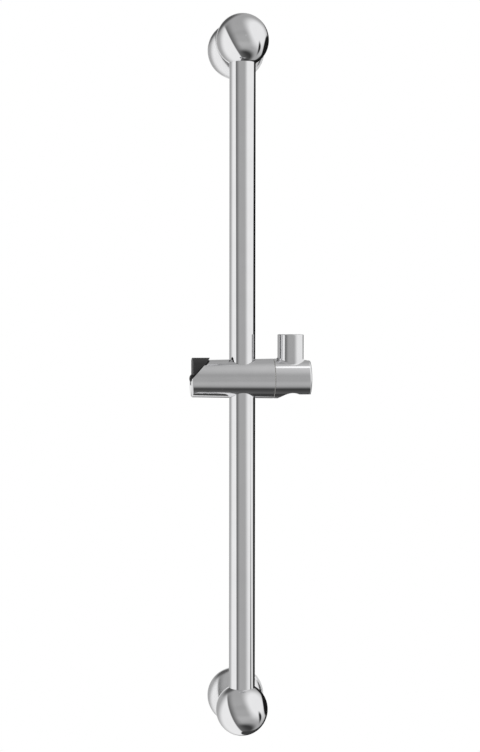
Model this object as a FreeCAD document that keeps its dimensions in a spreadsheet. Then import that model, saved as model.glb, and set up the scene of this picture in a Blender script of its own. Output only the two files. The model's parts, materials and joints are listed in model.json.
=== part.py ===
import FreeCAD, Part
import math
import os
import re
import Sketcher

# Shower slide rail: a round chrome rail on two ball brackets, with a clamped
# slider that carries a tilting handset holder.
# Frame: origin on the wall midway between the fixings, +Z up, +X to the right
# of somebody facing the wall, -Y out into the room. Millimetres.

# Driving sizes: alias, value, meaning
SIZES = [
    ("fixing_spacing", 640.0, "upper to lower ball centre"),
    ("projection", 55.0, "wall to rail axis"),
    ("tube_dia", 25.0, "rail tube outside"),
    ("tube_wall", 1.0, "rail tube wall"),
    ("tube_stop", 8.0, "ball centre to tube end"),
    ("tube_fit", 0.05, "radial clearance of the tube in its ball"),
    ("ball_dia", 50.0, "ball of a bracket"),
    ("neck_dia", 24.0, "neck from ball to wall plate"),
    ("neck_bore_floor", 3.0, "room past the end of the spigot"),
    ("rosette_dia", 56.0, "cover over a wall plate"),
    ("rosette_rim", 1.0, "straight rim of the cover"),
    ("rosette_round", 20.0, "round of the cover's dome"),
    ("rosette_wall", 1.2, "cover sheet"),
    ("rosette_fit", 0.15, "radial clearance of the cover on the neck"),
    ("seal_thick", 2.4, "cord of the sealing ring"),
    ("seal_gap", 0.05, "sealing ring to neck and cover"),
    ("plate_dia", 44.0, "wall plate"),
    ("plate_thick", 4.0, "wall plate"),
    ("spigot_dia", 16.0, "spigot of a wall plate"),
    ("spigot_length", 26.0, "spigot of a wall plate"),
    ("spigot_fit", 0.05, "radial clearance of the spigot in the neck"),
    ("wall_screw_hole", 4.5, "screw hole in a wall plate"),
    ("wall_screw_head", 8.6, "countersink for the screw head"),
    ("wall_screw_pitch", 28.0, "across the two holes of a plate"),
    ("neck_screw_dia", 5.0, "grub screw on the spigot"),
    ("neck_screw_from_wall", 25.5, "grub screw axis"),
    ("tube_screw_dia", 4.0, "grub screw on the tube"),
    ("tube_screw_from_ball", 15.0, "grub screw axis to ball centre"),
    ("tube_screw_length", 6.0, "grub screw"),
    ("thread_fit", 0.03, "radial clearance of plain threads"),
    ("screw_sink", 0.4, "grub screw below the surface"),
    ("hex_depth", 2.0, "hexagon socket of the screws"),
    ("slider_height", -1.0, "slider axis at rest"),
    ("body_left", 49.4, "rail axis to left end of the slider"),
    ("body_right", 29.4, "rail axis to the tilting joint"),
    ("body_left_dia", 35.3, "slider at its left end"),
    ("body_right_dia", 38.0, "slider at the tilting joint"),
    ("edge_round", 1.6, "rounded left edge of the slider"),
    ("bore_clear", 0.4, "slider bore to tube"),
    ("ring_wall", 1.65, "guide ring"),
    ("ring_height", 4.5, "guide ring"),
    ("ring_from_axis", 5.2, "guide ring's inner end to slider axis"),
    ("ring_split", 2.0, "gap of the split guide ring"),
    ("ring_fit", 0.05, "running clearance of the guide rings"),
    ("plunger_dia", 9.0, "brake plunger head and pad"),
    ("plunger_fit", 0.05, "running clearance of the plunger"),
    ("head_length", 5.0, "brake plunger head"),
    ("stem_dia", 5.0, "brake plunger stem"),
    ("stem_seat", 2.8, "stem length inside the pad"),
    ("pad_clear", 0.3, "pad to its pocket"),
    ("pad_gap", 0.05, "clamped pad to tube"),
    ("web_from_axis", 22.0, "spring seat to rail axis"),
    ("web_thick", 2.0, "spring seat web"),
    ("spring_dia", 7.0, "spring, mean of the coil"),
    ("wire_dia", 0.9, "spring wire"),
    ("spring_turns", 5, "spring coils"),
    ("spring_gap", 0.05, "spring to its seats"),
    ("cut_angle", 47.0, "slope of the cut for the lever, degrees"),
    ("cut_rise", 0.2, "low end of the cut above slider axis"),
    ("pin_inset", 3.8, "lever pin inside the slider's left end"),
    ("pin_drop", 0.6, "lever pin below slider axis"),
    ("pin_dia", 3.0, "lever pin"),
    ("pin_fit", 0.05, "running clearance of the lever on its pin"),
    ("pin_seat_fit", 0.01, "clearance of the pin in the slider"),
    ("pin_front", 9.0, "pin's front end, from the slider axis"),
    ("pin_back", 15.5, "pin's rear end, from the slider axis"),
    ("cam_radius", 5.4, "round cam of the lever"),
    ("cam_offset", 0.6, "cam centre off the pin, across and up"),
    ("cam_gap", 0.1, "cam to plunger"),
    ("cam_width", 9.0, "cam"),
    ("cam_side_gap", 0.3, "cam to each side of its slot"),
    ("cam_slot_gap", 0.55, "cam to the round end of its slot"),
    ("lever_dia", 40.0, "round back of the lever"),
    ("lever_width", 24.0, "lever across its flat sides"),
    ("lever_inset", 1.4, "left face of the lever inside the slider's left end"),
    ("lever_gap", 0.3, "lever to the cut it lies on"),
    ("lever_heel", 4.9, "clearance round the pin beside the cam"),
    ("lever_round", 1.4, "softened edges of the lever"),
    ("cup_lead", 3.9, "tilting joint to the handset cup"),
    ("cup_margin", 4.6, "cup to the right end of the holder"),
    ("holder_round", 2.2, "round of the holder's end"),
    ("cup_wall", 1.45, "wall of the cup at its rim"),
    ("cup_height", 42.3, "cup's rim above slider axis"),
    ("cup_rim", 0.7, "rounded rim of the cup"),
    ("cup_root", 2.0, "fillet at the foot of the cup"),
    ("socket_dia", 23.5, "conical socket at the rim"),
    ("socket_taper", 2.7, "loss of the socket's width to its low end"),
    ("socket_low", 6.0, "low end of the cone below slider axis"),
    ("relief_step", 3.0, "round opening under the socket, wider on each side"),
    ("relief_drop", 9.5, "top of that opening below slider axis"),
    ("flat_drop", 14.9, "flat underside below slider axis"),
    ("hose_slot", 15.0, "slot that lets the hose in"),
    ("tilt_spigot_dia", 22.0, "holder's spigot in the slider"),
    ("tilt_spigot_length", 10.0, "holder's spigot"),
    ("tilt_fit", 0.05, "running clearance of the tilting joint"),
    ("tilt_end_gap", 0.3, "spigot's end to the floor of its socket"),
    ("friction_thick", 0.6, "friction ring of the tilting joint"),
    ("friction_gap", 0.1, "friction ring to holder"),
    ("friction_inset", 1.1, "friction ring inside the slider's edge"),
    ("tilt_screw_dia", 5.0, "screw of the tilting joint"),
    ("tilt_screw_grip", 11.0, "screw length in the holder"),
    ("tilt_head_dia", 9.0, "head of that screw"),
    ("tilt_head_height", 2.8, "head of that screw"),
    ("tilt_head_hex", 3.0, "hexagon in that head"),
    ("tilt_web", 2.5, "web the screw pulls on"),
    ("tilt_head_clear", 0.4, "head to its recess"),
    ("washer_thick", 0.5, "disc spring under the head"),
    ("washer_cone", 0.35, "height of the disc spring's cone"),
    ("washer_gap", 0.05, "disc spring to head and web"),
]

doc = FreeCAD.newDocument("shower_slide_rail")
sheet = doc.addObject("Spreadsheet::Sheet", "Sizes")
for row, (alias, size, meaning) in enumerate(SIZES, start=1):
    sheet.set(f"A{row}", meaning)
    sheet.set(f"B{row}", str(size))
    sheet.setAlias(f"B{row}", alias)
doc.recompute()

ALIASES = re.compile(r"\b(" + "|".join(alias for alias, size, meaning in SIZES) + r")\b")
TO_ROOM = FreeCAD.Rotation(FreeCAD.Vector(1, 0, 0), 90)
TO_WALL = FreeCAD.Rotation(FreeCAD.Vector(1, 0, 0), -90)
HALF_TURN = FreeCAD.Rotation(FreeCAD.Vector(0, 0, 1), 180)
UPRIGHT = FreeCAD.Rotation()
THROUGH = None
SAME = 0.001
pieces = []


def bound(text):
    """An expression with each alias pointed at its cell."""
    return ALIASES.sub(r"Sizes.\1", text)


def value(text):
    """The number that an expression has now."""
    return float(sheet.evalExpression(bound(text)))


# Sketch helpers: every corner and radius is tied to the sheet

def tie(sketch, index, text):
    sketch.setExpression(f"Constraints[{index}]", bound(text))


def tie_point(sketch, geometry, end, across, up):
    """Hold a point at a distance across and up from the sketch's origin."""
    for text, kind, axis in ((across, "DistanceX", -2), (up, "DistanceY", -1)):
        if text == "0":
            sketch.addConstraint(Sketcher.Constraint("PointOnObject", geometry, end, axis))
        else:
            made = Sketcher.Constraint(kind, -1, 1, geometry, end, value(text))
            tie(sketch, sketch.addConstraint(made), text)


def arc_between(start, finish, radius, turn):
    """The shorter arc from start to finish, turning left or right."""
    chord = finish - start
    rise = math.sqrt(max(radius ** 2 - (chord.Length / 2) ** 2, 0))
    aside = FreeCAD.Vector(-chord.y, chord.x, 0).normalize()
    side = 1 if turn == "left" else -1
    centre = start + chord * 0.5 + aside * rise * side
    first, last = (start, finish) if turn == "left" else (finish, start)
    angles = [math.atan2(p.y - centre.y, p.x - centre.x) for p in (first, last)]
    circle = Part.Circle(centre, FreeCAD.Vector(0, 0, 1), radius)
    return Part.ArcOfCircle(circle, angles[0], angles[1])


def outline(sketch, corners):
    """A closed outline. A corner is (across, up), or (across, up, radius, turn)
    where an arc leads on to the next corner."""
    spots = [FreeCAD.Vector(value(c[0]), value(c[1]), 0) for c in corners]
    heads = []
    tails = []
    for i, corner in enumerate(corners):
        start, finish = spots[i], spots[(i + 1) % len(corners)]
        if len(corner) == 2:
            line = sketch.addGeometry(Part.LineSegment(start, finish))
            heads.append((line, 1))
            tails.append((line, 2))
        else:
            turns_left = corner[3] == "left"
            arc = sketch.addGeometry(arc_between(start, finish, value(corner[2]), corner[3]))
            tie(sketch, sketch.addConstraint(Sketcher.Constraint("Radius", arc, value(corner[2]))), corner[2])
            heads.append((arc, 1 if turns_left else 2))
            tails.append((arc, 2 if turns_left else 1))
    for i, corner in enumerate(corners):
        sketch.addConstraint(Sketcher.Constraint("Coincident", *tails[i - 1], *heads[i]))
        tie_point(sketch, *heads[i], corner[0], corner[1])


def circle(sketch, across, up, dia):
    """A full circle, placed and sized from the sheet."""
    middle = FreeCAD.Vector(value(across), value(up), 0)
    ring = sketch.addGeometry(Part.Circle(middle, FreeCAD.Vector(0, 0, 1), value(dia) / 2))
    tie_point(sketch, ring, 3, across, up)
    tie(sketch, sketch.addConstraint(Sketcher.Constraint("Diameter", ring, value(dia))), dia)


# Body and feature helpers

def place(thing, turn, spot):
    thing.Placement = FreeCAD.Placement(FreeCAD.Vector(*(value(text) for text in spot)), turn)
    for axis, text in zip("xyz", spot):
        thing.setExpression(f"Placement.Base.{axis}", bound(text))


def new_body(label, turn, spot):
    body = doc.addObject("PartDesign::Body", label)
    body.Label = label
    place(body, turn, spot)
    pieces.append(body)
    return body


def slider_body_piece(label):
    """A body whose origin is where the slider's axis crosses the rail's."""
    return new_body(label, UPRIGHT, ("0", "-projection", "slider_height"))


def new_sketch(body, role, shift):
    sketch = body.newObject("Sketcher::SketchObject", "Sketch")
    support = next(f for f in body.Origin.OriginFeatures if f.Role == role)
    sketch.AttachmentSupport = (support, [""])
    sketch.MapMode = "FlatFace"
    for axis, text in zip("xyz", shift):
        if text != "0":
            sketch.setExpression(f"AttachmentOffset.Base.{axis}", bound(text))
    return sketch


def finish_feature(body, feature, removes):
    """Recompute, and see that the feature added or removed something."""
    earlier = [f for f in body.Group if f.isDerivedFrom("PartDesign::Feature") and f != feature]
    before = earlier[-1].Shape.Volume if earlier else 0
    doc.recompute()
    change = feature.Shape.Volume - before
    if change * (-1 if removes else 1) <= 0:
        raise RuntimeError(f"{body.Label}: {feature.Name} changed nothing")
    return feature


def turned(body, outlines, axis="V_Axis", removes=False, shift=("0", "0", "0")):
    """Turn outlines of the XZ plane about a sketch axis, as a lathe does."""
    sketch = new_sketch(body, "XZ_Plane", shift)
    for corners in outlines:
        outline(sketch, corners)
    kind = "PartDesign::Groove" if removes else "PartDesign::Revolution"
    feature = body.newObject(kind, "Cut" if removes else "Turned")
    feature.Profile = sketch
    feature.ReferenceAxis = (sketch, [axis])
    feature.Angle = 360
    return finish_feature(body, feature, removes)


def drawn_out(body, role, draw, length=THROUGH, removes=False, reverse=False, even=False,
              shift=("0", "0", "0")):
    """Pad or pocket what draw() puts in a new sketch."""
    sketch = new_sketch(body, role, shift)
    draw(sketch)
    feature = body.newObject("PartDesign::Pocket" if removes else "PartDesign::Pad", "Feature")
    feature.Profile = sketch
    feature.Reversed = reverse
    if even:
        feature.SideType = "Symmetric"
    if length is THROUGH:
        feature.Type = "ThroughAll"
    else:
        feature.setExpression("Length", bound(length))
    return finish_feature(body, feature, removes)


def rounded(body, chosen, radius):
    """Fillet the edges of the body that chosen(edge) picks."""
    base = body.Tip
    names = [f"Edge{i}" for i, edge in enumerate(base.Shape.Edges, start=1) if chosen(edge)]
    if not names:
        raise RuntimeError(f"{body.Label}: no edge to round")
    fillet = body.newObject("PartDesign::Fillet", "Round")
    fillet.Base = (base, names)
    fillet.setExpression("Radius", bound(radius))
    doc.recompute()
    return fillet


def hexagon(across_flats):
    """Corners of a hexagon about the sketch's origin."""
    reach = f"{across_flats} / 2 / cos(30)"
    return [(f"{reach} * cos({15 + 60 * i})", f"{reach} * sin({15 + 60 * i})") for i in range(6)]


# Rail tube

def rail_tube():
    body = new_body("rail_tube", UPRIGHT, ("0", "-projection", "0"))
    end = "fixing_spacing / 2 - tube_stop"
    inner = "tube_dia / 2 - tube_wall"
    turned(body, [[(inner, f"-({end})"), ("tube_dia / 2", f"-({end})"), ("tube_dia / 2", end), (inner, end)]])


# Wall brackets: ball and neck are one casting, used at both ends of the rail

BALL_SIDES = (("upper", TO_ROOM, "fixing_spacing / 2"),
              ("lower", TO_ROOM.multiply(HALF_TURN), "-fixing_spacing / 2"))


def ball_bracket(label, turn, height):
    body = new_body(label, turn, ("0", "0", height))
    bore = "spigot_dia / 2 + spigot_fit"
    floor = "plate_thick + spigot_length + neck_bore_floor"
    join = "projection - sqrt((ball_dia / 2)^2 - (neck_dia / 2)^2)"
    turned(body, [[
        (bore, "plate_thick"),
        ("neck_dia / 2", "plate_thick"),
        ("neck_dia / 2", join, "ball_dia / 2", "left"),
        ("0", "projection + ball_dia / 2"),
        ("0", floor),
        (bore, floor),
    ]])
    drawn_out(body, "XZ_Plane", lambda s: circle(s, "0", "projection", "tube_dia + 2 * tube_fit"),
              removes=True, reverse=True, shift=("0", "0", "tube_stop"))
    drawn_out(body, "XZ_Plane",
              lambda s: circle(s, "0", "neck_screw_from_wall", "neck_screw_dia + 2 * thread_fit"),
              length="neck_dia", removes=True, reverse=True)
    drawn_out(body, "XY_Plane",
              lambda s: circle(s, "0", "-tube_screw_from_ball", "tube_screw_dia + 2 * thread_fit"),
              removes=True, shift=("0", "0", "projection"))


ROSETTE_HOLE = "(neck_dia / 2 + rosette_fit)"
SEAL_RADIUS = "(neck_dia / 2 + seal_gap + seal_thick / 2)"


def dome_height(from_axis, inside):
    """Height of a place inside the cover's dome, at a radius from its axis."""
    return f"rosette_rim + sqrt((rosette_round - {inside})^2 - ({from_axis} - rosette_dia / 2 + rosette_round)^2)"


def rosette(label, turn, height):
    """Pressed cover, domed from its rim to the neck."""
    body = new_body(label, turn, ("0", "0", height))
    inner = "rosette_dia / 2 - rosette_wall"
    turned(body, [[
        (inner, "0"),
        ("rosette_dia / 2", "0"),
        ("rosette_dia / 2", "rosette_rim", "rosette_round", "left"),
        (ROSETTE_HOLE, dome_height(ROSETTE_HOLE, "0")),
        (ROSETTE_HOLE, dome_height(ROSETTE_HOLE, "rosette_wall"), "rosette_round - rosette_wall", "right"),
        (inner, "rosette_rim"),
    ]])


def wall_plate(label, turn, height):
    """Disc with a spigot for the neck and two countersunk screw holes."""
    body = new_body(label, turn, ("0", "0", height))
    tip = "plate_thick + spigot_length"
    turned(body, [[
        ("0", "0"),
        ("plate_dia / 2", "0"),
        ("plate_dia / 2", "plate_thick"),
        ("spigot_dia / 2", "plate_thick"),
        ("spigot_dia / 2", tip),
        ("0", tip),
    ]])
    sink = "plate_thick - (wall_screw_head - wall_screw_hole) / 2"
    for side in ("-1", "1"):
        turned(body, [[
            ("0", "0"),
            ("wall_screw_hole / 2", "0"),
            ("wall_screw_hole / 2", sink),
            ("wall_screw_head / 2", "plate_thick"),
            ("0", "plate_thick"),
        ]], removes=True, shift=(f"{side} * wall_screw_pitch / 2", "0", "0"))


def sealing_ring(label, turn, height):
    """Rubber ring on the neck, behind the cover's dome."""
    ring = doc.addObject("Part::Torus", label)
    ring.Label = label
    ring.setExpression("Radius1", bound(SEAL_RADIUS))
    ring.setExpression("Radius2", bound("seal_thick / 2"))
    middle = dome_height(SEAL_RADIUS, "(rosette_wall + seal_gap + seal_thick / 2)")
    place(ring, turn, ("0", f"-({middle})", height))
    pieces.append(ring)


def grub_screw(name, dia, length, turn, spot):
    """Plain grub screw with a hexagon socket at the end that it turns to."""
    shank = doc.addObject("Part::Cylinder", name + "_shank")
    shank.setExpression("Radius", bound(f"{dia} / 2"))
    shank.setExpression("Height", bound(length))
    key = doc.addObject("Part::Prism", name + "_key")
    key.Polygon = 6
    key.setExpression("Circumradius", bound(f"{dia} / 4 / cos(30)"))
    key.setExpression("Height", bound("hex_depth"))
    place(key, UPRIGHT, ("0", "0", f"{length} - hex_depth"))
    screw = doc.addObject("Part::Cut", name)
    screw.Base = shank
    screw.Tool = key
    place(screw, turn, spot)
    return screw


def grub_screws(label, screws):
    group = doc.addObject("Part::Compound", label)
    group.Label = label
    group.Links = screws
    pieces.append(group)


def neck_grub_screws():
    """One in each neck, facing the middle of the rail."""
    length = "neck_dia / 2 - spigot_dia / 2 - screw_sink"
    down = FreeCAD.Rotation(FreeCAD.Vector(1, 0, 0), 180)
    grub_screws("neck_grub_screws", [
        grub_screw("upper_neck_screw", "neck_screw_dia", length, down,
                   ("0", "-neck_screw_from_wall", "fixing_spacing / 2 - spigot_dia / 2")),
        grub_screw("lower_neck_screw", "neck_screw_dia", length, UPRIGHT,
                   ("0", "-neck_screw_from_wall", "-fixing_spacing / 2 + spigot_dia / 2")),
    ])


def tube_grub_screws():
    """One in the rear of each ball, against the tube."""
    seat = "-projection + tube_dia / 2"
    grub_screws("tube_grub_screws", [
        grub_screw(f"{side}_tube_screw", "tube_screw_dia", "tube_screw_length", TO_WALL,
                   ("0", seat, f"{sign} * (fixing_spacing / 2 - tube_screw_from_ball)"))
        for side, sign in (("upper", "1"), ("lower", "-1"))
    ])


# Slider

SEAT = "tube_dia / 2 + ring_fit + ring_wall + ring_fit"
SLOT_RADIUS = "cam_radius + cam_offset * sqrt(2) + cam_slot_gap"
HOLDER_START = "body_right + friction_thick + friction_gap"
SPIGOT_START = f"{HOLDER_START} - tilt_spigot_length"
WEB_RIGHT = f"{SPIGOT_START} - tilt_end_gap"
HEAD_SEAT = f"{WEB_RIGHT} - tilt_web"
PIN_FROM_AXIS = "(body_left - pin_inset)"
PLUNGER_END = f"{PIN_FROM_AXIS} - cam_radius - cam_offset - cam_gap"
PAD_BACK = "web_from_axis - web_thick - 2 * cam_offset - pad_clear"


def cut_height(across, lift):
    """Height of the sloping cut, or of a face lying lift above it."""
    return f"({across} + body_left) * tan(cut_angle) + cut_rise + {lift} / cos(cut_angle)"


def cut_corners(low, high, lift):
    """The corner that lies over the cut, between two places along the slider."""
    return [(low, cut_height(low, lift)), (high, cut_height(high, lift)), (low, cut_height(high, lift))]


def slider_body():
    """Tapered barrel with the rail's bore, the brake's bore, the lever's cut
    and the socket for the tilting holder."""
    body = slider_body_piece("slider_body")
    left = "-body_left"
    turned(body, [[
        (left, "0"),
        (left, "body_left_dia / 2 - edge_round", "edge_round", "right"),
        (f"{left} + edge_round", "body_left_dia / 2"),
        ("body_right", "body_right_dia / 2"),
        ("body_right", "0"),
    ]], axis="H_Axis")
    drawn_out(body, "XY_Plane", lambda s: circle(s, "0", "0", "tube_dia + 2 * bore_clear"),
              removes=True, even=True)
    inner = "tube_dia / 2"
    low = "ring_from_axis - ring_fit"
    high = "ring_from_axis + ring_height + ring_fit"
    turned(body, [
        [(inner, low), (SEAT, low), (SEAT, high), (inner, high)],
        [(inner, f"-({high})"), (SEAT, f"-({high})"), (SEAT, f"-({low})"), (inner, f"-({low})")],
    ], removes=True)
    drawn_out(body, "XZ_Plane", lambda s: outline(s, cut_corners("-2 * body_left", "body_left / 2", "0")),
              removes=True, even=True)
    pin_across = f"-{PIN_FROM_AXIS}"
    drawn_out(body, "XZ_Plane", lambda s: outline(s, [
        (f"{pin_across} - ({SLOT_RADIUS})", "-pin_drop", SLOT_RADIUS, "left"),
        (pin_across, f"-pin_drop - ({SLOT_RADIUS})", SLOT_RADIUS, "left"),
        (f"{pin_across} + {SLOT_RADIUS}", "-pin_drop"),
        (f"{pin_across} + {SLOT_RADIUS}", "body_left_dia"),
        (f"{pin_across} - ({SLOT_RADIUS})", "body_left_dia"),
    ]), length="cam_width + 2 * cam_side_gap", removes=True, even=True)
    guide = "plunger_dia / 2 + plunger_fit"
    stem = "stem_dia / 2 + plunger_fit"
    pocket = "plunger_dia / 2 + pad_clear"
    turned(body, [[
        (pin_across, "0"),
        (pin_across, guide),
        ("-web_from_axis", guide),
        ("-web_from_axis", stem),
        ("-web_from_axis + web_thick", stem),
        ("-web_from_axis + web_thick", pocket),
        ("0", pocket),
        ("0", "0"),
    ]], axis="H_Axis", removes=True)
    recess = "tilt_head_dia / 2 + tilt_head_clear"
    shank = "tilt_screw_dia / 2 + tilt_fit"
    socket = "tilt_spigot_dia / 2 + tilt_fit"
    turned(body, [[
        ("0", "0"),
        ("0", recess),
        (HEAD_SEAT, recess),
        (HEAD_SEAT, shank),
        (WEB_RIGHT, shank),
        (WEB_RIGHT, socket),
        ("body_right", socket),
        ("body_right", "0"),
    ]], axis="H_Axis", removes=True)
    drawn_out(body, "XZ_Plane",
              lambda s: circle(s, pin_across, "-pin_drop", "pin_dia + 2 * pin_seat_fit"),
              removes=True, shift=("0", "0", "pin_front"))


def guide_ring(label, sign):
    """Split nylon ring between the tube and the slider."""
    body = slider_body_piece(label)
    inner = "tube_dia / 2 + ring_fit"
    outer = f"{inner} + ring_wall"
    near = f"{sign} * ring_from_axis"
    far = f"{sign} * (ring_from_axis + ring_height)"
    turned(body, [[(inner, near), (outer, near), (outer, far), (inner, far)]])
    drawn_out(body, "XY_Plane", lambda s: outline(s, [
        ("0", "-ring_split / 2"),
        ("tube_dia", "-ring_split / 2"),
        ("tube_dia", "ring_split / 2"),
        ("0", "ring_split / 2"),
    ]), removes=True, even=True)


def brake_plunger():
    body = slider_body_piece("brake_plunger")
    head = f"-({PLUNGER_END})"
    tip = f"-({PAD_BACK}) + stem_seat"
    turned(body, [[
        (head, "0"),
        (head, "plunger_dia / 2"),
        (f"{head} + head_length", "plunger_dia / 2"),
        (f"{head} + head_length", "stem_dia / 2"),
        (tip, "stem_dia / 2"),
        (tip, "0"),
    ]], axis="H_Axis")


def brake_pad():
    """Pad with a hollow face that fits the tube."""
    body = slider_body_piece("brake_pad")
    back = f"-({PAD_BACK})"
    seat = f"{back} + stem_seat + pad_gap"
    seat_radius = "stem_dia / 2 + pin_seat_fit"
    turned(body, [[
        (back, seat_radius),
        (back, "plunger_dia / 2"),
        ("-tube_dia / 3", "plunger_dia / 2"),
        ("-tube_dia / 3", "0"),
        (seat, "0"),
        (seat, seat_radius),
    ]], axis="H_Axis")
    drawn_out(body, "XY_Plane", lambda s: circle(s, "0", "0", "tube_dia + 2 * pad_gap"),
              removes=True, even=True)


def plunger_spring():
    """Coil spring on the plunger's stem, from its head to the slider's web."""
    wire = value("wire_dia") / 2
    start = -value(f"{PLUNGER_END} - head_length - spring_gap") + wire
    length = -value("web_from_axis + spring_gap") - wire - start
    coil_radius = value("spring_dia") / 2
    path = Part.makeHelix(length / value("spring_turns"), length, coil_radius)
    section = Part.Wire(Part.makeCircle(wire, FreeCAD.Vector(coil_radius, 0, 0), FreeCAD.Vector(0, 1, 0)))
    spring = doc.addObject("Part::Feature", "plunger_spring")
    spring.Label = "plunger_spring"
    spring.Shape = Part.Wire(path).makePipeShell([section], True, True)
    spot = FreeCAD.Vector(start, -value("projection"), value("slider_height"))
    spring.Placement = FreeCAD.Placement(spot, FreeCAD.Rotation(FreeCAD.Vector(0, 1, 0), 90))
    pieces.append(spring)


def lever_pin():
    body = new_body("lever_pin", TO_WALL, (f"-{PIN_FROM_AXIS}", "-projection", "slider_height - pin_drop"))
    turned(body, [[
        ("0", "-pin_front"),
        ("pin_dia / 2", "-pin_front"),
        ("pin_dia / 2", "pin_back"),
        ("0", "pin_back"),
    ]])


def clamp_lever():
    """Wedge that fills the slider's cut, with a round cam about its pin."""
    body = slider_body_piece("clamp_lever")
    end = "-(body_left - lever_inset)"
    round_back = "lever_dia / 2"
    turned(body, [[(end, "0"), (end, round_back), ("-body_left / 4", round_back), ("-body_left / 4", "0")]],
           axis="H_Axis")
    low, high = "-2 * body_left", "body_left"
    drawn_out(body, "XZ_Plane", lambda s: outline(s, [
        (low, cut_height(low, "lever_gap")),
        (high, cut_height(low, "lever_gap")),
        (high, cut_height(high, "lever_gap")),
    ]), removes=True, even=True)
    for side in ("1", "-1"):
        drawn_out(body, "XZ_Plane", lambda s: outline(s, [
            ("-2 * body_left", "-lever_dia"),
            ("0", "-lever_dia"),
            ("0", "lever_dia"),
            ("-2 * body_left", "lever_dia"),
        ]), removes=True, reverse=side == "1", shift=("0", "0", f"{side} * lever_width / 2"))
    half = value("lever_width") / 2
    slope = math.tan(math.radians(value("cut_angle")))
    lift = value("cut_rise + lever_gap / cos(cut_angle)")

    def outer_edge(edge):
        middle = edge.valueAt((edge.FirstParameter + edge.LastParameter) / 2)
        above_cut = middle.z - ((middle.x + value("body_left")) * slope + lift)
        at_side = all(abs(abs(v.Point.y) - half) < SAME for v in edge.Vertexes)
        return at_side and above_cut > value("lever_gap")

    rounded(body, outer_edge, "lever_round")
    pin_across = f"-{PIN_FROM_AXIS}"
    drawn_out(body, "XZ_Plane", lambda s: circle(s, pin_across, "-pin_drop", "2 * lever_heel"),
              removes=True, even=True)
    drawn_out(body, "XZ_Plane",
              lambda s: circle(s, f"{pin_across} + cam_offset", "-pin_drop + cam_offset", "2 * cam_radius"),
              length="cam_width", even=True)
    drawn_out(body, "XZ_Plane", lambda s: circle(s, pin_across, "-pin_drop", "pin_dia + 2 * pin_fit"),
              removes=True, even=True)


# Tilting handset holder

CUP_RADIUS = "(socket_dia / 2 + cup_wall)"
CUP_AXIS = f"({HOLDER_START} + cup_lead + {CUP_RADIUS})"
HOLDER_END = f"({CUP_AXIS} + {CUP_RADIUS} + cup_margin)"
HOLDER_RADIUS = "(body_right_dia / 2)"


def handset_holder():
    """Barrel end with a conical cup, a slot for the hose and a spigot."""
    body = slider_body_piece("handset_holder")
    spigot = "-tilt_spigot_dia / 2"
    under = f"-{HOLDER_RADIUS}"
    # The barrel is drawn below its axis, so that its seam stays clear of the cup's foot
    turned(body, [[
        (SPIGOT_START, "0"),
        (SPIGOT_START, spigot),
        (HOLDER_START, spigot),
        (HOLDER_START, under),
        (f"{HOLDER_END} - holder_round", under, "holder_round", "left"),
        (HOLDER_END, f"{under} + holder_round"),
        (HOLDER_END, "0"),
    ]], axis="H_Axis")
    at_cup = (CUP_AXIS, "0", "0")
    turned(body, [[
        ("0", "0"),
        (CUP_RADIUS, "0"),
        (CUP_RADIUS, "cup_height - cup_rim", "cup_rim", "left"),
        (f"{CUP_RADIUS} - cup_rim", "cup_height"),
        ("0", "cup_height"),
    ]], shift=at_cup)
    cup_across = value(CUP_AXIS)
    cup_radius = value(CUP_RADIUS)
    barrel_radius = value(HOLDER_RADIUS)

    def foot_edge(edge):
        spots = [v.Point for v in edge.Vertexes]
        on_cup = all(abs(math.hypot(p.x - cup_across, p.y) - cup_radius) < SAME for p in spots)
        on_barrel = all(abs(math.hypot(p.y, p.z) - barrel_radius) < SAME for p in spots)
        return on_cup and on_barrel

    rounded(body, foot_edge, "cup_root")
    low_radius = "(socket_dia - socket_taper) / 2"
    relief = f"{low_radius} + relief_step"
    turned(body, [[
        ("0", "cup_height"),
        ("0", under),
        (relief, under),
        (relief, "-relief_drop"),
        (low_radius, "-socket_low"),
        ("socket_dia / 2", "cup_height"),
    ]], removes=True, shift=at_cup)
    drawn_out(body, "XZ_Plane", lambda s: outline(s, [
        (CUP_AXIS, under),
        (HOLDER_END, under),
        (HOLDER_END, "-flat_drop"),
        (CUP_AXIS, "-flat_drop"),
    ]), removes=True, even=True)
    drawn_out(body, "XY_Plane", lambda s: outline(s, [
        (CUP_AXIS, "-hose_slot / 2"),
        (HOLDER_END, "-hose_slot / 2"),
        (HOLDER_END, "hose_slot / 2"),
        (CUP_AXIS, "hose_slot / 2"),
    ]), removes=True, even=True)
    thread = "tilt_screw_dia / 2 + thread_fit"
    thread_end = f"{SPIGOT_START} + tilt_screw_grip + thread_fit"
    turned(body, [[(SPIGOT_START, "0"), (SPIGOT_START, thread), (thread_end, thread), (thread_end, "0")]],
           axis="H_Axis", removes=True)


WASHER_STACK = "washer_thick + washer_cone + 2 * washer_gap"


def tilt_screw():
    """Screw that pulls the holder's spigot against the slider's web."""
    body = slider_body_piece("tilt_screw")
    seat = f"{HEAD_SEAT} - ({WASHER_STACK})"
    face = f"{seat} - tilt_head_height"
    tip = f"{SPIGOT_START} + tilt_screw_grip"
    turned(body, [[
        (face, "0"),
        (face, "tilt_head_dia / 2"),
        (seat, "tilt_head_dia / 2"),
        (seat, "tilt_screw_dia / 2"),
        (tip, "tilt_screw_dia / 2"),
        (tip, "0"),
    ]], axis="H_Axis")
    drawn_out(body, "YZ_Plane", lambda s: outline(s, hexagon("tilt_head_hex")), length="hex_depth",
              removes=True, reverse=True, shift=("0", "0", face))


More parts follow.
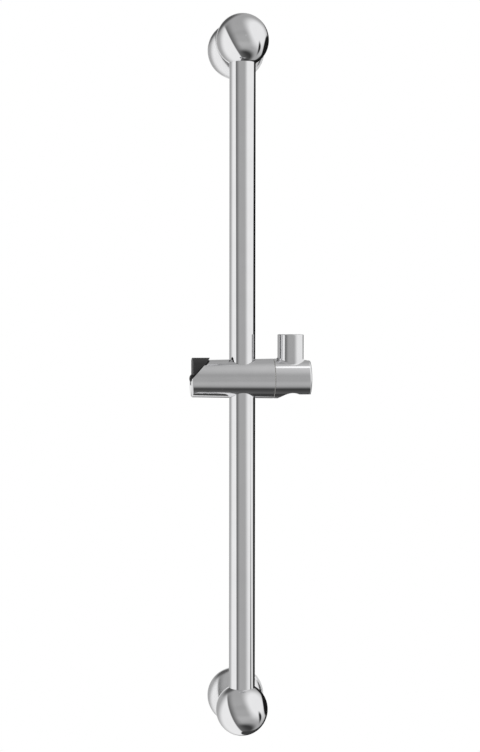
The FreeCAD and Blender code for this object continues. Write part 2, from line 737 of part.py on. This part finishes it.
def tilt_disc_spring():
    """Coned washer that keeps the tilting joint stiff."""
    body = slider_body_piece("tilt_disc_spring")
    hole = "tilt_screw_dia / 2 + 2 * tilt_fit"
    rim = "tilt_head_dia / 2"
    back = f"{HEAD_SEAT} - washer_gap"
    turned(body, [[
        (f"{back} - washer_cone - washer_thick", hole),
        (f"{back} - washer_thick", rim),
        (back, rim),
        (f"{back} - washer_cone", hole),
    ]], axis="H_Axis")


def tilt_friction_ring():
    """Thin ring that the holder turns against."""
    body = slider_body_piece("tilt_friction_ring")
    inner = "tilt_spigot_dia / 2 + tilt_fit + friction_gap"
    outer = "body_right_dia / 2 - friction_inset"
    end = "body_right + friction_thick"
    turned(body, [[("body_right", inner), ("body_right", outer), (end, outer), (end, inner)]], axis="H_Axis")


rail_tube()
for side, turn, height in BALL_SIDES:
    ball_bracket(f"{side}_ball_bracket", turn, height)
    rosette(f"{side}_rosette", turn, height)
    wall_plate(f"{side}_wall_plate", turn, height)
    sealing_ring(f"{side}_rosette_seal", turn, height)
neck_grub_screws()
tube_grub_screws()
guide_ring("upper_guide_ring", "1")
guide_ring("lower_guide_ring", "-1")
slider_body()
lever_pin()
plunger_spring()
brake_plunger()
brake_pad()
clamp_lever()
handset_holder()
tilt_screw()
tilt_disc_spring()
tilt_friction_ring()
doc.recompute()

# Nothing is written unless every object is sound
for thing in doc.Objects:
    if "Invalid" in thing.State or "Error" in thing.State:
        raise RuntimeError(f"{thing.Name} failed: {thing.State}")
for piece in pieces:
    if piece.Shape.isNull() or not piece.Shape.isValid():
        raise RuntimeError(f"{piece.Label} has no sound shape")

os.makedirs("parts", exist_ok=True)
for piece in pieces:
    piece.Shape.exportStep(f"parts/{piece.Label}.step")
    print(f"{piece.Label}: {len(piece.Shape.Solids)} solid, {piece.Shape.Volume:.1f} mm3")
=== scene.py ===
# %% [markdown]
# Shower slide rail, dressed for a studio picture.
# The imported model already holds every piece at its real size, so this lesson
# only adds what a camera sees: the studio that polished metal reflects, and the
# finish of each surface.

# %% Load the model
import json
import math
import bpy
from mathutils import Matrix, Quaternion, Vector


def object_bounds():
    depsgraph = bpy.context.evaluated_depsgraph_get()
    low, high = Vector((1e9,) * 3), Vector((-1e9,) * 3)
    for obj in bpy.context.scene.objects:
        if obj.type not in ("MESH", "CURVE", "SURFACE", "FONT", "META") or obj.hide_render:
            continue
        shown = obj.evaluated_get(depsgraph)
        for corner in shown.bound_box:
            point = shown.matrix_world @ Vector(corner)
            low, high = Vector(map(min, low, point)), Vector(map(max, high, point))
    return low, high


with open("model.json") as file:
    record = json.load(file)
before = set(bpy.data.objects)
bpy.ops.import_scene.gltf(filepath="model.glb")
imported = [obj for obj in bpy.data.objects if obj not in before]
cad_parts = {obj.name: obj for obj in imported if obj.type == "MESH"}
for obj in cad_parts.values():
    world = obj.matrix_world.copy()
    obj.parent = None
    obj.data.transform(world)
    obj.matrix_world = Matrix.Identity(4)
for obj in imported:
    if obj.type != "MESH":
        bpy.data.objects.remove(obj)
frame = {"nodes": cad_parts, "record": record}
cad_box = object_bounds()
print("model box", [[round(c, 4) for c in corner] for corner in cad_box])

# %% [markdown]
# The camera stands a little to the left of the rail and a little above its
# middle, far back with a long lens, which keeps the tube's sides parallel.
# A camera can be placed by eye in the viewport. Here its place is worked out
# from a few numbers, so that it can be read and changed: where it looks, how
# far it stands, the two angles of its line of sight, and a hair of roll.

# %% Camera
PHOTO_HEIGHT = 752
FOCAL_PIXELS = 1417.2
SENSOR_HEIGHT = 36.0
LOOK_AT = Vector((-0.0003, -0.040, 0.0009))
CAMERA_DISTANCE = 1.3698
CAMERA_AZIMUTH = math.radians(-6.83)
CAMERA_ELEVATION = math.radians(2.14)
CAMERA_ROLL = math.radians(0.06)


def direction(azimuth, elevation):
    """A unit vector in the model's frame; azimuth 0 points out of the wall."""
    level = math.cos(elevation)
    return Vector((math.sin(azimuth) * level, -math.cos(azimuth) * level, math.sin(elevation)))


to_camera = direction(CAMERA_AZIMUTH, CAMERA_ELEVATION)
camera_data = bpy.data.cameras.new("studio_camera")
camera_data.sensor_fit = "VERTICAL"
camera_data.sensor_height = SENSOR_HEIGHT
camera_data.lens = FOCAL_PIXELS / PHOTO_HEIGHT * SENSOR_HEIGHT
camera = bpy.data.objects.new("studio_camera", camera_data)
camera.location = LOOK_AT + to_camera * CAMERA_DISTANCE
level_view = (-to_camera).to_track_quat("-Z", "Y")
camera.rotation_euler = (level_view @ Quaternion((0, 0, 1), CAMERA_ROLL)).to_euler()
bpy.context.scene.collection.objects.link(camera)
bpy.context.scene.camera = camera
bpy.context.scene.view_settings.view_transform = "Standard"
print("lens", round(camera_data.lens, 2), "mm at", [round(c, 3) for c in camera.location])

# %% [markdown]
# A node tree is quicker to read when each node takes one line. The first helper
# adds a node, sets its options, and either types a value into each input or
# plugs another node's output into it. The others make nodes that come up often.

# %% Node helpers
def add_node(tree, kind, inputs=None, **options):
    """A new node; inputs maps a socket's name or number to a value or an output."""
    made = tree.nodes.new(kind)
    for name, option in options.items():
        setattr(made, name, option)
    for name, given in (inputs or {}).items():
        if isinstance(given, bpy.types.NodeSocket):
            tree.links.new(given, made.inputs[name])
        else:
            made.inputs[name].default_value = given
    return made


def math_node(tree, operation, *values):
    """The output of one sum, product or other operation."""
    made = add_node(tree, "ShaderNodeMath", dict(enumerate(values)), operation=operation)
    return made.outputs[0]


def soft_step(tree, value, low, high):
    """0 below low, 1 above high, and an eased slope between; low may be the larger."""
    made = add_node(tree, "ShaderNodeMapRange",
                    {"Value": value, "From Min": low, "From Max": high},
                    interpolation_type="SMOOTHSTEP", clamp=True)
    return made.outputs["Result"]


# The mix node has a set of sockets for each kind of value, and only numbers tell
# them apart. These are the ones for colours.
MIX_FACTOR, MIX_UNDER, MIX_OVER = 0, 6, 7
MIX_RESULT = 2


def mix_colour(tree, factor, under, over):
    """One colour laid over another."""
    made = add_node(tree, "ShaderNodeMix",
                    {MIX_FACTOR: factor, MIX_UNDER: under, MIX_OVER: over}, data_type="RGBA")
    return made.outputs[MIX_RESULT]


def grey(level):
    """An opaque grey; 0 is black and 1 is white."""
    return (level, level, level, 1.0)


print("helpers ready")

# %% [markdown]
# Chrome has almost no colour of its own: what is seen on it is the room.
# A photographer hangs white and black cards round the object, and each card
# becomes a stripe along the tube and a round patch on the balls. The cards
# could be planes that glow. Painted into the world by direction, they add no
# noise, never stand in the way of a view and keep their place when the camera
# moves, so this is the way used here.
# A card is an oval patch of the sky: where its middle lies, in degrees of
# azimuth and elevation, its half width and half height, how far it leans, how
# soft its edge is, and its brightness. Azimuth 0 is the camera's side and 90
# the right of the picture. A later card lies over an earlier one.

# %% Studio cards
FRONT_WALL = 0.41
CARDS = [
    # name, azimuth, elevation, half width, half height, lean, softness, brightness
    ("ceiling", 0, 90, 36, 36, 0, 0.45, 0.40),
    ("upper band", 10, 22, 60, 10, 0, 0.70, 0.38),
    ("lower band", 10, -28, 60, 10, 0, 0.70, 0.47),
    ("far right wall", 109, 5, 36, 38, 0, 0.33, 0.65),
    ("right softbox", 77, 24, 43, 51, 2, 0.34, 0.90),
    ("dark floor", 40, -85, 33, 33, 0, 0.33, 0.045),
    ("left shade", -112, -25, 77, 71, 0, 0.17, 0.15),
    ("left softbox", -114, -25, 62, 62, 0, 0.04, 0.92),
    ("left wall", -154, 10, 47, 48, 0, 0.40, 0.41),
    ("left corner", -149, 37, 20, 20, 0, 0.50, 0.10),
    ("black bench", 159, -46, 12, 35, 0, 0.08, 0.05),
    ("back flag", 161, -10, 24, 33, 12, 0.22, 0.010),
    ("white corner", -168, 0, 8, 24, 0, 0.40, 0.85),
    ("side flag", 136, -3, 23, 18, 0, 0.12, 0.010),
    ("right stand", 94, -24, 6, 20, 42, 0.50, 0.02),
]


def chord(degrees):
    """Straight distance between two directions that lie an angle apart."""
    return 2 * math.sin(math.radians(degrees) / 2)


world = bpy.data.worlds.new("studio")
bpy.context.scene.world = world
world.use_nodes = True
tree = world.node_tree
tree.nodes.clear()
sight = add_node(tree, "ShaderNodeTexCoord").outputs["Generated"]
room = grey(FRONT_WALL)
for name, azimuth, elevation, half_width, half_height, lean, softness, brightness in CARDS:
    middle = direction(CAMERA_AZIMUTH + math.radians(azimuth), math.radians(elevation))
    facing = middle.to_track_quat("Z", "Y") @ Quaternion((0, 0, 1), math.radians(lean))
    size = (chord(half_width), chord(half_height), chord(max(half_width, half_height)))
    on_card = add_node(tree, "ShaderNodeMapping", {
        "Vector": sight, "Location": middle, "Rotation": facing.to_euler(), "Scale": size,
    }, vector_type="TEXTURE")
    off = add_node(tree, "ShaderNodeVectorMath", {0: on_card.outputs[0]}, operation="LENGTH")
    patch = soft_step(tree, off.outputs["Value"], 1 + softness, 1 - softness)
    room = mix_colour(tree, patch, room, grey(brightness))
print("studio cards", [card[0] for card in CARDS])

# %% [markdown]
# Only reflections see the cards. The camera sees plain white behind the object,
# also through anything clear, and dull surfaces get an even fill, as a room
# lined with white paper would give.

# %% Background
FILL_LIGHT = 0.85

rays = add_node(tree, "ShaderNodeLightPath").outputs
seen = mix_colour(tree, rays["Is Glossy Ray"], grey(FILL_LIGHT), room)
plain = math_node(tree, "MAXIMUM", rays["Is Camera Ray"], rays["Is Transmission Ray"])
seen = mix_colour(tree, plain, seen, grey(1.0))
background = add_node(tree, "ShaderNodeBackground", {"Color": seen, "Strength": 1.0})
add_node(tree, "ShaderNodeOutputWorld", {"Surface": background.outputs[0]})
print("world nodes", len(tree.nodes))

# %% [markdown]
# Three lamps are added to the cards. Each is a flat rectangle that glows on one
# side, so one helper makes them all and another turns them. The last one says
# which nodes a lamp reaches, which Blender calls light linking: on a real set
# a shade does that.

# %% Lamp helpers
def area_lamp(name, power, width, height, place):
    """A rectangle of light that looks straight down until it is turned."""
    light = bpy.data.lights.new(name, "AREA")
    light.energy = power
    light.shape = "RECTANGLE"
    light.size = width
    light.size_y = height
    lamp = bpy.data.objects.new(name, light)
    lamp.location = place
    bpy.context.scene.collection.objects.link(lamp)
    return lamp


def turn_to(lamp, target):
    """Points a lamp at a place."""
    lamp.rotation_euler = (target - lamp.location).to_track_quat("-Z", "Y").to_euler()


def light_only(lamp, node_names):
    """Lets a lamp reach these nodes and nothing else."""
    reached = bpy.data.collections.new("lit_by_" + lamp.name)
    for node_name in node_names:
        reached.objects.link(frame["nodes"][node_name])
    lamp.light_linking.receiver_collection = reached


print("lamp helpers ready")

# %% [markdown]
# One broad lamp from the upper left gives the plastic and rubber pieces their
# shape. The metal doesn't need it, so it is hidden from reflections.

# %% Soft lamp
SOFT_LAMP_POWER = 14.0
SOFT_LAMP_SIZE = 1.2
SOFT_LAMP_PLACE = Vector((-1.1, -1.5, 1.3))

soft_lamp = area_lamp("soft_lamp", SOFT_LAMP_POWER, SOFT_LAMP_SIZE, SOFT_LAMP_SIZE, SOFT_LAMP_PLACE)
turn_to(soft_lamp, LOOK_AT)
soft_lamp.visible_glossy = False
print("soft lamp", SOFT_LAMP_POWER, "W")

# %% [markdown]
# A small lamp hangs close above the handset holder. Its reflection is the bright
# line along the top of the holder's barrel. Cards of the world lie endlessly far
# away and would run along the slider too, but the reflection of a near lamp
# ends where the lamp does. It is kept off everything but the holder.

# %% Near lamp
NEAR_LAMP_POWER = 0.05
NEAR_LAMP_WIDTH = 0.18
NEAR_LAMP_DEPTH = 0.15
NEAR_LAMP_PLACE = Vector((0.21, -0.28, 0.61))

near_lamp = area_lamp("near_lamp", NEAR_LAMP_POWER, NEAR_LAMP_WIDTH, NEAR_LAMP_DEPTH, NEAR_LAMP_PLACE)
near_lamp.visible_camera = False
light_only(near_lamp, ["handset_holder"])
print("near lamp", NEAR_LAMP_POWER, "W")

# %% [markdown]
# The covers at the wall turn their right edges to the black flags behind the
# rail and would end in a hard black line. A tall lamp behind them, which
# reaches these two pieces only, opens that edge up.

# %% Edge lamp
EDGE_LAMP_POWER = 0.75
EDGE_LAMP_WIDTH = 0.34
EDGE_LAMP_HEIGHT = 1.1
EDGE_LAMP_PLACE = Vector((0.30, 0.40, 0.0))
EDGE_LAMP_AIM = Vector((0.0, 0.0, 0.0))
COVERS = ["upper_rosette", "lower_rosette"]

edge_lamp = area_lamp("edge_lamp", EDGE_LAMP_POWER, EDGE_LAMP_WIDTH, EDGE_LAMP_HEIGHT, EDGE_LAMP_PLACE)
turn_to(edge_lamp, EDGE_LAMP_AIM)
edge_lamp.visible_camera = False
light_only(edge_lamp, COVERS)
print("edge lamp", EDGE_LAMP_POWER, "W on", COVERS)

# %% [markdown]
# The rail hangs on a wall, so the floor lies well below it. It is a pale disc
# that fades into the white background, so that no edge of it shows.

# %% Floor
FLOOR_DROP = 0.10
FLOOR_RADIUS = 1.6
FLOOR_SIDES = 96
FLOOR_TONE = 0.9
FADE_START = 0.06
FADE_END = 0.26

floor_height = cad_box[0][2] - FLOOR_DROP
floor_mesh = bpy.data.meshes.new("floor")
floor_turns = [math.tau * side / FLOOR_SIDES for side in range(FLOOR_SIDES)]
floor_ring = [(FLOOR_RADIUS * math.cos(turn), FLOOR_RADIUS * math.sin(turn), 0.0) for turn in floor_turns]
floor_mesh.from_pydata(floor_ring, [], [list(range(FLOOR_SIDES))])
floor = bpy.data.objects.new("floor", floor_mesh)
floor.location = (0, LOOK_AT.y, floor_height)
floor.visible_glossy = False
bpy.context.scene.collection.objects.link(floor)

floor_paint = bpy.data.materials.new("pale_floor")
floor_paint.use_nodes = True
tree = floor_paint.node_tree
tree.nodes.clear()
place = add_node(tree, "ShaderNodeTexCoord").outputs["Object"]
away = add_node(tree, "ShaderNodeVectorMath", {0: place}, operation="LENGTH").outputs["Value"]
matte = add_node(tree, "ShaderNodeBsdfDiffuse", {"Color": grey(FLOOR_TONE)})
glow = add_node(tree, "ShaderNodeEmission", {"Color": grey(1.0), "Strength": 1.0})
fade = soft_step(tree, away, FADE_START, FADE_END)
blend = add_node(tree, "ShaderNodeMixShader", {0: fade, 1: matte.outputs[0], 2: glow.outputs[0]})
add_node(tree, "ShaderNodeOutputMaterial", {"Surface": blend.outputs[0]})
floor_mesh.materials.append(floor_paint)
print("floor at", round(floor_height, 3))

# %% [markdown]
# Every finish starts from the same shader. Position in the model, in metres,
# drives its noise, so a scratch or a grain has its real size on every piece
# and nothing has to be unwrapped.

# %% Start of a finish
def start_finish(name):
    """A new material, with its tree, its shader and the place on the object."""
    made = bpy.data.materials.new(name)
    made.use_nodes = True
    tree = made.node_tree
    tree.nodes.clear()
    shader = add_node(tree, "ShaderNodeBsdfPrincipled")
    add_node(tree, "ShaderNodeOutputMaterial", {"Surface": shader.outputs[0]})
    place = add_node(tree, "ShaderNodeTexCoord").outputs["Object"]
    return made, tree, shader, place


SAME_ALL_WAYS = (1.0, 1.0, 1.0)


def noise(tree, place, per_metre, detail=3.0, stretch=SAME_ALL_WAYS):
    """Cloudy noise from 0 to 1, with so many patches a metre, drawn out where stretch is small."""
    drawn = add_node(tree, "ShaderNodeMapping", {"Vector": place, "Scale": stretch})
    made = add_node(tree, "ShaderNodeTexNoise",
                    {"Vector": drawn.outputs[0], "Scale": per_metre, "Detail": detail})
    return made.outputs["Fac"]


# Noise seldom leaves the middle half of its range
NOISE_LOW, NOISE_HIGH = 0.25, 0.75


def spread(tree, value, low, high):
    """Noise stretched to run from low to high."""
    made = add_node(tree, "ShaderNodeMapRange", {
        "Value": value, "From Min": NOISE_LOW, "From Max": NOISE_HIGH, "To Min": low, "To Max": high,
    })
    return made.outputs["Result"]


def relief(tree, shader, value, height):
    """Bump of a real height in metres."""
    made = add_node(tree, "ShaderNodeBump", {"Height": value, "Distance": height, "Strength": 1.0})
    tree.links.new(made.outputs[0], shader.inputs["Normal"])


def colour(tree, shader, value, dark, light):
    """Colour that drifts between two shades."""
    drift = mix_colour(tree, value, (*dark, 1.0), (*light, 1.0))
    tree.links.new(drift, shader.inputs["Base Color"])


def gloss(tree, shader, roughness):
    """Roughness from a node's output."""
    tree.links.new(roughness, shader.inputs["Roughness"])


print("finish helpers ready")

# %% [markdown]
# Bright chrome on the tube and brackets is a thin hard plate over buffed metal.
# It is a mirror, but not a perfect one: buffing leaves broad waves that bend
# the reflections slightly, and wiping leaves faint hairlines. A plain metal
# shader with one roughness would look drawn, so the roughness drifts and a wave
# a few thousandths of a millimetre high is added. The covers at the wall are
# pressed from sheet and buffed less than the balls, so they are softer.

# %% Bright chrome
ALONG_THE_TUBE = (1.0, 1.0, 0.03)
FINER_ALL_WAYS = (4.0, 4.0, 4.0)


def bright_chrome(name, hairline_stretch, wave_height, roughness):
    """A mirror with drifting roughness, hairlines and a slight wave."""
    made, tree, shader, place = start_finish(name)
    clouds = noise(tree, place, per_metre=60.0)
    hairlines = noise(tree, place, per_metre=900.0, detail=2.0, stretch=hairline_stretch)
    colour(tree, shader, clouds, (0.84, 0.84, 0.85), (0.91, 0.91, 0.92))
    shader.inputs["Metallic"].default_value = 1.0
    worn = math_node(tree, "MULTIPLY", spread(tree, hairlines, 0.6, 1.4), spread(tree, clouds, 0.8, 1.2))
    gloss(tree, shader, math_node(tree, "MULTIPLY", worn, roughness))
    relief(tree, shader, noise(tree, place, per_metre=90.0, detail=1.0), wave_height)
    return made


finishes = {
    "rail_chrome": bright_chrome("rail_chrome", ALONG_THE_TUBE, wave_height=0.000003, roughness=0.045),
    "bracket_chrome": bright_chrome("bracket_chrome", SAME_ALL_WAYS, wave_height=0.000004, roughness=0.045),
}
cover_chrome = bright_chrome("cover_chrome", FINER_ALL_WAYS, wave_height=0.000004, roughness=0.17)
print("made", sorted(finishes), "and", cover_chrome.name)

# %% [markdown]
# The slider and its holder have a softer plate. It was brushed round the
# barrel before plating, so its reflections are blurred and the grain runs
# across the barrel's length.

# %% Soft chrome
ROUND_THE_BARREL = (1.0, 0.05, 0.05)


def soft_chrome(slot):
    """Blurred plate with a fine grain."""
    made, tree, shader, place = start_finish(slot)
    clouds = noise(tree, place, per_metre=80.0)
    grain = noise(tree, place, per_metre=2500.0, detail=2.0, stretch=ROUND_THE_BARREL)
    colour(tree, shader, clouds, (0.80, 0.80, 0.81), (0.87, 0.87, 0.88))
    shader.inputs["Metallic"].default_value = 1.0
    gloss(tree, shader, spread(tree, grain, 0.06, 0.10))
    relief(tree, shader, grain, height=0.0000006)
    return made


finishes["slider_chrome"] = soft_chrome("slider_chrome")
print("made", sorted(finishes))

# %% [markdown]
# The lever is black moulded plastic with the fine spark-eroded grain that hides
# finger marks. Two sizes of noise make the grain: the tool's own texture, and
# a slow change of gloss where hands have polished it.

# %% Moulded plastic
def moulded_black(slot):
    """Black plastic with a grain, polished here and there."""
    made, tree, shader, place = start_finish(slot)
    grain = noise(tree, place, per_metre=3200.0, detail=4.0)
    handled = noise(tree, place, per_metre=120.0)
    colour(tree, shader, grain, (0.013, 0.013, 0.014), (0.028, 0.027, 0.028))
    gloss(tree, shader, spread(tree, handled, 0.38, 0.56))
    shader.inputs["Specular IOR Level"].default_value = 0.4
    relief(tree, shader, grain, height=0.00003)
    return made


finishes["lever_plastic"] = moulded_black("lever_plastic")
print("made", sorted(finishes))

# %% [markdown]
# Some pieces show only from behind, from below or when the rail is taken apart:
# natural nylon rings, black rubber seals, the cast wall plates and the stainless
# screws, pin and springs. Each still has its own finish.

# %% Inner finishes
OUT_OF_THE_WALL = (1.0, 0.1, 1.0)


def natural_nylon(slot):
    """Milky plastic with a moulded skin."""
    made, tree, shader, place = start_finish(slot)
    clouds = noise(tree, place, per_metre=300.0)
    colour(tree, shader, clouds, (0.68, 0.67, 0.63), (0.77, 0.76, 0.72))
    gloss(tree, shader, spread(tree, clouds, 0.36, 0.50))
    relief(tree, shader, noise(tree, place, per_metre=2200.0), height=0.000008)
    return made


def black_rubber(slot):
    """Dull rubber with a faint bloom."""
    made, tree, shader, place = start_finish(slot)
    bloom = noise(tree, place, per_metre=250.0, detail=5.0)
    colour(tree, shader, bloom, (0.016, 0.016, 0.016), (0.040, 0.040, 0.041))
    gloss(tree, shader, spread(tree, bloom, 0.62, 0.82))
    relief(tree, shader, noise(tree, place, per_metre=1800.0), height=0.00002)
    return made


def cast_zinc(slot):
    """Bare casting with a rough skin and flow marks."""
    made, tree, shader, place = start_finish(slot)
    skin = noise(tree, place, per_metre=700.0, detail=5.0)
    flow = noise(tree, place, per_metre=60.0)
    colour(tree, shader, flow, (0.40, 0.40, 0.41), (0.56, 0.56, 0.57))
    shader.inputs["Metallic"].default_value = 1.0
    gloss(tree, shader, spread(tree, skin, 0.36, 0.58))
    relief(tree, shader, skin, height=0.00003)
    return made


def turned_steel(slot):
    """Stainless steel with fine lines."""
    made, tree, shader, place = start_finish(slot)
    lines = noise(tree, place, per_metre=1500.0, detail=2.0, stretch=OUT_OF_THE_WALL)
    colour(tree, shader, lines, (0.50, 0.50, 0.49), (0.66, 0.66, 0.65))
    shader.inputs["Metallic"].default_value = 1.0
    gloss(tree, shader, spread(tree, lines, 0.22, 0.34))
    relief(tree, shader, lines, height=0.000002)
    return made


finishes["guide_nylon"] = natural_nylon("guide_nylon")
finishes["seal_rubber"] = black_rubber("seal_rubber")
finishes["plate_metal"] = cast_zinc("plate_metal")
finishes["screw_steel"] = turned_steel("screw_steel")
print("made", sorted(finishes))

# %% [markdown]
# The record says which slot each node takes its finish from, so one loop
# dresses them all. Only the two covers have a finish of their own.

# %% Dress the model
for part in frame["record"]["subparts"]:
    node = frame["nodes"][part["node"]]
    node.data.materials.clear()
    node.data.materials.append(cover_chrome if part["node"] in COVERS else finishes[part["material_slot"]])
